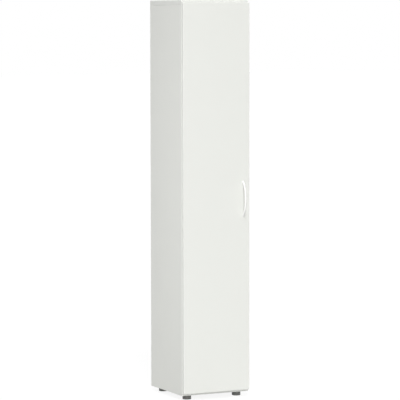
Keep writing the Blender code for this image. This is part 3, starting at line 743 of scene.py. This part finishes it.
# Concealed hinges: arm, a rolled eye on the pin, a goose neck and a channel of bent sheet
neck = drawn_line("neck", [(x, y, -NECK_HALF_Z) for x, y in NECK_LINE])
edit_all(neck)
bpy.ops.mesh.bevel(offset=NECK_BEND, segments=5, affect="VERTICES")
bpy.ops.mesh.select_all(action="SELECT")
bpy.ops.mesh.extrude_region_move(TRANSFORM_OT_translate={"value": (0, 0, 2 * NECK_HALF_Z)})
bpy.ops.object.mode_set(mode="OBJECT")
use(neck, "SOLIDIFY", thickness=NECK_THICK, offset=0.0, use_even_offset=True)
closed_up(neck)
soften(neck, NECK_EDGE, segments=2, angle=50)
eye = turned("eye", [
    (EYE_BORE, -NECK_HALF_Z), (EYE_BORE, NECK_HALF_Z), (EYE_RADIUS - EYE_CHAMFER, NECK_HALF_Z),
    (EYE_RADIUS, NECK_HALF_Z - EYE_CHAMFER), (EYE_RADIUS, EYE_CHAMFER - NECK_HALF_Z),
    (EYE_RADIUS - EYE_CHAMFER, -NECK_HALF_Z), (EYE_BORE, -NECK_HALF_Z),
], steps=40)
eye.location = (PIVOT_X, PIVOT_Y, 0)
settle(eye)


def along_web(a, b):
    """A test for the edges of the saddle's web, other than the one at its open rear end."""
    return min(a.x, b.x) > WEB_TOP_X - TOUCH and min(a.y, b.y) < ARM_END_Y - TOUCH


saddle = block("saddle", (ARM_FOOT_X, ARM_START_Y, -SADDLE_HALF_Z), (WEB_TOP_X, ARM_END_Y, SADDLE_HALF_Z))
opened(saddle, lambda normal: normal.x < -FACING or normal.y > FACING)
round_edges(saddle, along_web, SADDLE_BEND, segments=4)
use(saddle, "SOLIDIFY", thickness=SADDLE_SHEET, offset=-1.0, use_even_offset=True)
soften(saddle, SADDLE_EDGE, segments=2, angle=50)
hinge_arm = joined([coated(neck, nickel), coated(eye, nickel), coated(saddle, nickel)])
arm_screws = [copied(small_screw, "arm_screw", (WEB_TOP_X, y, 0), TO_RIGHT) for y in ARM_SCREW_Y]
hinge_arm = smooth(joined([hinge_arm, *arm_screws]))

# Concealed hinges: mounting plate with the rail that the arm sits on
plate_top = PLATE_X + PLATE_THICK
plate = block("plate", (PLATE_X, PLATE_Y - PLATE_HALF_Y, -PLATE_HALF_Z),
              (plate_top, PLATE_Y + PLATE_HALF_Y, PLATE_HALF_Z))
round_edges(plate, runs_along(0), PLATE_CORNER, segments=6)
soften(plate, PLATE_EDGE)
rail = block("rail", (PLATE_X, RAIL_START_Y, -RAIL_HALF_Z), (RAIL_TOP_X, RAIL_END_Y, RAIL_HALF_Z))
soften(rail, RAIL_EDGE)
hinge_plate = joined([coated(plate, nickel), coated(rail, nickel)])
plate_screws = [copied(small_screw, "plate_screw", (plate_top, PLATE_Y, z), TO_RIGHT)
                for z in (-PLATE_SCREW_Z, PLATE_SCREW_Z)]
hinge_plate = smooth(joined([hinge_plate, *plate_screws]))

for number, z in enumerate(HINGE_LEVELS, 1):
    for pattern, word, body, slot in (
        (hinge_cup, "cup", "door", "nickel_cup"),
        (hinge_arm, "arm", "carcass", "nickel_steel"),
        (hinge_plate, "plate", "carcass", "nickel_steel"),
    ):
        fitting = copied(pattern, f"{word}_of_hinge_{number}", (0, 0, z))
        hand_over(fitting, body, slot, f"hinge_{word}_{number}")
for pattern in (hinge_cup, hinge_arm, hinge_plate, small_screw):
    dropped(pattern)

# Shelf pins
pin_end = -HOLE_DEPTH + SEAT
shelf_pin = turned("shelf_pin", [
    (0, PIN_REACH), (0.0011, PIN_REACH - 0.0001), (0.0019, PIN_REACH - 0.0005), (0.0023, PIN_REACH - 0.0010),
    (PIN_RADIUS, PIN_REACH - 0.0017), (PIN_RADIUS, -HOLE_DEPTH + 0.0008), (0.0021, pin_end), (0, pin_end),
], steps=32)
smooth(coated(shelf_pin, nickel))
for shelf in LOOSE_SHELVES:
    z = SHELF_LEVELS[shelf - 1] - SEAT - PIN_RADIUS
    for row, y in PIN_ROWS.items():
        for word, x, turn in (("left", -INNER_X, TO_RIGHT), ("right", INNER_X, TO_LEFT)):
            spot = f"{shelf}_{row}_{word}"
            peg = copied(shelf_pin, f"peg_{spot}", (x, y, z), turn)
            hand_over(peg, "carcass", "nickel_steel", f"shelf_pin_{spot}")
dropped(shelf_pin)

# Soft stops on the back of the door
stop_top = DOOR_BACK_GAP - SEAT
soft_stop = turned("soft_stop", [
    (0, stop_top), (0.0018, stop_top - 0.00004), (0.0030, stop_top - 0.00014), (0.0039, stop_top - 0.00034),
    (0.0044, stop_top - 0.00060), (0.0045, SEAT), (0, SEAT),
], steps=48)
smooth(coated(soft_stop, stop_rubber))
for word, z in DOOR_STOPS.items():
    stop = copied(soft_stop, f"soft_stop_{word}", (STOP_X, DOOR_BACK_Y, z), TO_BACK)
    hand_over(stop, "door", "clear_grey_rubber", f"door_stop_{word}")
dropped(soft_stop)

# Levelling feet: round pad, with a hollow for the spindle's collar and one for the insert's flange
foot_pad = turned("foot_pad", [
    (0, 0.0057), (0.0068, 0.0057), (0.0068, 0.0103), (0.0052, 0.0103), (0.0052, 0.0187), (0.0157, 0.0187),
    (0.0160, 0.0190), (0.0160, 0.0243), (0.0163, 0.0247), (FOOT_RADIUS - 0.0008, 0.0247),
    (FOOT_RADIUS - 0.0004, 0.0246), (FOOT_RADIUS - 0.0001, 0.0243), (FOOT_RADIUS, 0.0239),
    (FOOT_RADIUS, 0.0016), (FOOT_RADIUS - 0.0002, 0.0009), (FOOT_RADIUS - 0.0006, 0.0004),
    (FOOT_RADIUS - 0.0012, 0.0001), (FOOT_RADIUS - 0.0017, 0), (0.0150, 0), (0.0146, 0.0006), (0, 0.0006),
], steps=72)
smooth(coated(foot_pad, foot_plastic))

# Levelling feet: spindle, whose thread is one pitch of its profile carried up a screw line
thread = drawn_line("thread", [(radius, 0, THREAD_LOW_Z - part * PITCH) for radius, part in THREAD_PROFILE])
turns = math.ceil((THREAD_HIGH_Z - THREAD_LOW_Z) / PITCH) + 2
use(thread, "SCREW", axis="Z", angle=2 * math.pi, screw_offset=PITCH, iterations=turns,
    steps=THREAD_STEPS, render_steps=THREAD_STEPS)
closed_up(thread)
cut_off(thread, (0, 0, THREAD_LOW_Z), (0, 0, -1))
cut_off(thread, (0, 0, THREAD_HIGH_Z), (0, 0, 1))
closed_up(thread)
socket_radius = KEY_WIDTH / 2 / math.cos(math.pi / 6)
socket = rod("socket", (0, 0, THREAD_HIGH_Z - KEY_DEPTH), (0, 0, INNER_LOW_Z), socket_radius, steps=6)
combined(thread, socket, "DIFFERENCE")
collar = turned("collar", [
    (0, 0.0100), (0.0062, 0.0100), (0.0065, 0.0097), (0.0065, 0.0063), (0.0062, 0.0060), (0, 0.0060),
], steps=48)
spindle = smooth(joined([coated(thread, zinc), coated(collar, zinc)]))

# Levelling feet: flanged insert and the cap over the key hole
insert_top = BOTTOM_Z + INSERT_RISE
flange_top = BOTTOM_Z - SEAT
insert = turned("insert", [
    (INSERT_BORE, INSERT_FLANGE_Z), (INSERT_BORE, insert_top), (INSERT_RADIUS, insert_top),
    (INSERT_RADIUS, flange_top), (0.0137, flange_top), (0.0140, 0.0244), (0.0140, 0.0230),
    (0.0137, INSERT_FLANGE_Z), (INSERT_BORE, INSERT_FLANGE_Z),
], steps=56)
smooth(coated(insert, zinc))
cap_low = INNER_LOW_Z + SEAT
cap_top = cap_low + CAP_THICK
stem_end = INNER_LOW_Z - CAP_STEM
cap = turned("cap", [
    (0, cap_top), (0.0045, cap_top - 0.00006), (0.0066, cap_top - 0.00022), (0.0075, cap_top - 0.00050),
    (0.0079, cap_top - 0.00090), (0.0080, cap_low), (0.0049, cap_low), (0.0049, stem_end), (0, stem_end),
], steps=56)
smooth(coated(cap, cap_plastic))
for word, (x, y) in FEET.items():
    for pattern, part, body, slot in (
        (foot_pad, "pad", f"pad_{word}", "dark_grey_plastic"),
        (spindle, "spindle", f"spindle_{word}", "zinc_steel"),
        (insert, "insert", "carcass", "zinc_steel"),
        (cap, "cap", "carcass", "white_plastic"),
    ):
        fitting = copied(pattern, f"{part}_{word}", (x, y, 0))
        hand_over(fitting, body, slot, f"foot_{part}_{word}")
for pattern in (foot_pad, spindle, insert, cap):
    dropped(pattern)

# Studio: strengths of the lights, and the directions that lead to the far lamps
STUDIO_SIZE = 120.0
STUDIO_DROP = 0.0003
PAPER_BOUNCE = (0.52, 0.52, 0.513)
PAPER_GLOW = 1.04
SHADOW_SHARE = 0.15
AIR_LIGHT = 0.372
AIR_WHITE = 1.0
KEY_LIGHT = 1.10
KEY_TOWARDS = (-0.233, -0.523, 0.819)
KEY_SPREAD = 10
FRONT_LIGHT = 1.210
FRONT_TOWARDS = (-0.29, -0.92, 0.26)
FRONT_SPREAD = 32
REAR_LIGHT = 1.30
REAR_TOWARDS = (0.48, 0.83, 0.28)
REAR_SPREAD = 60
SIDE_LIGHT = 3.807
SIDE_PLACE = (-1.2, -0.40, 1.40)
SIDE_WIDTH = 0.3
SIDE_HEIGHT = 2.6


def seen_by_eye(nodes, links):
    """1 for rays that show the background: from the camera, from gloss and through glass."""
    path = nodes.new("ShaderNodeLightPath")
    first = nodes.new("ShaderNodeMath")
    first.operation = "MAXIMUM"
    links.new(path.outputs["Is Camera Ray"], first.inputs[0])
    links.new(path.outputs["Is Glossy Ray"], first.inputs[1])
    second = nodes.new("ShaderNodeMath")
    second.operation = "MAXIMUM"
    links.new(first.outputs[0], second.inputs[0])
    links.new(path.outputs["Is Transmission Ray"], second.inputs[1])
    return second.outputs[0]


def matt_paper(nodes, colour):
    """Plain paper of one colour."""
    paint = nodes.new("ShaderNodeBsdfDiffuse")
    paint.inputs["Color"].default_value = (*colour, 1)
    return paint.outputs[0]


def white_air(nodes, strength):
    """Plain white air of one strength."""
    air = nodes.new("ShaderNodeBackground")
    air.inputs["Color"].default_value = (1, 1, 1, 1)
    air.inputs["Strength"].default_value = strength
    return air.outputs[0]


def mixed(nodes, links, first, second):
    """Two shaders and the node that mixes them."""
    mix = nodes.new("ShaderNodeMixShader")
    links.new(first, mix.inputs[1])
    links.new(second, mix.inputs[2])
    return mix


let_go()
bpy.ops.mesh.primitive_plane_add(size=STUDIO_SIZE, location=(0, 0, -STUDIO_DROP))
floor = named("studio_floor")
paper = bpy.data.materials.new("studio_paper")
paper.use_nodes = True
nodes, links = paper.node_tree.nodes, paper.node_tree.links
nodes.clear()
glow = nodes.new("ShaderNodeEmission")
glow.inputs["Strength"].default_value = PAPER_GLOW
shown = mixed(nodes, links, glow.outputs[0], matt_paper(nodes, (1, 1, 1)))
shown.inputs["Fac"].default_value = SHADOW_SHARE
sheet = mixed(nodes, links, matt_paper(nodes, PAPER_BOUNCE), shown.outputs[0])
links.new(seen_by_eye(nodes, links), sheet.inputs["Fac"])
output = nodes.new("ShaderNodeOutputMaterial")
links.new(sheet.outputs[0], output.inputs["Surface"])
coated(floor, paper)
floor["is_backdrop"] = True

world = bpy.data.worlds.new("studio_air")
bpy.context.scene.world = world
world.use_nodes = True
nodes, links = world.node_tree.nodes, world.node_tree.links
nodes.clear()
around = mixed(nodes, links, white_air(nodes, AIR_LIGHT), white_air(nodes, AIR_WHITE))
links.new(seen_by_eye(nodes, links), around.inputs["Fac"])
output = nodes.new("ShaderNodeOutputWorld")
links.new(around.outputs[0], output.inputs["Surface"])


def lamp_object(data, towards):
    """Put a lamp in the scene, shining back along the direction that leads to it."""
    lamp = bpy.data.objects.new(data.name, data)
    lamp.rotation_euler = Vector(towards).to_track_quat("Z", "Y").to_euler()
    bpy.context.scene.collection.objects.link(lamp)
    return lamp


def wide_lamp(name, towards, strength, spread):
    """An even lamp far away, of so many degrees across."""
    data = bpy.data.lights.new(name, "SUN")
    data.energy = strength
    data.angle = math.radians(spread)
    return lamp_object(data, towards)


wide_lamp("key_lamp", KEY_TOWARDS, KEY_LIGHT, KEY_SPREAD)
wide_lamp("front_lamp", FRONT_TOWARDS, FRONT_LIGHT, FRONT_SPREAD)
wide_lamp("rear_lamp", REAR_TOWARDS, REAR_LIGHT, REAR_SPREAD)

# Tall narrow light box beside the cupboard, facing it squarely
box = bpy.data.lights.new("left_box", "AREA")
box.shape = "RECTANGLE"
box.size = SIDE_WIDTH
box.size_y = SIDE_HEIGHT
box.energy = SIDE_LIGHT
lamp_object(box, (SIDE_PLACE[0], 0, 0)).location = SIDE_PLACE

# Camera, at the photograph's viewing angle
CAMERA_LENS = 207.28
CAMERA_SENSOR = 36.0
CAMERA_REACH = 200.0
CAMERA_PLACE = (-5.4773, -11.3237, 2.0963)
CAMERA_TURN = (90 - 4.6616, 0.0784, -25.791)

view = bpy.data.cameras.new("photo_camera")
view.lens = CAMERA_LENS
view.sensor_width = CAMERA_SENSOR
view.clip_end = CAMERA_REACH
camera = bpy.data.objects.new("photo_camera", view)
camera.location = CAMERA_PLACE
camera.rotation_euler = [math.radians(angle) for angle in CAMERA_TURN]
bpy.context.scene.collection.objects.link(camera)
bpy.context.scene.camera = camera
bpy.context.scene.view_settings.view_transform = "Standard"

low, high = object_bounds()
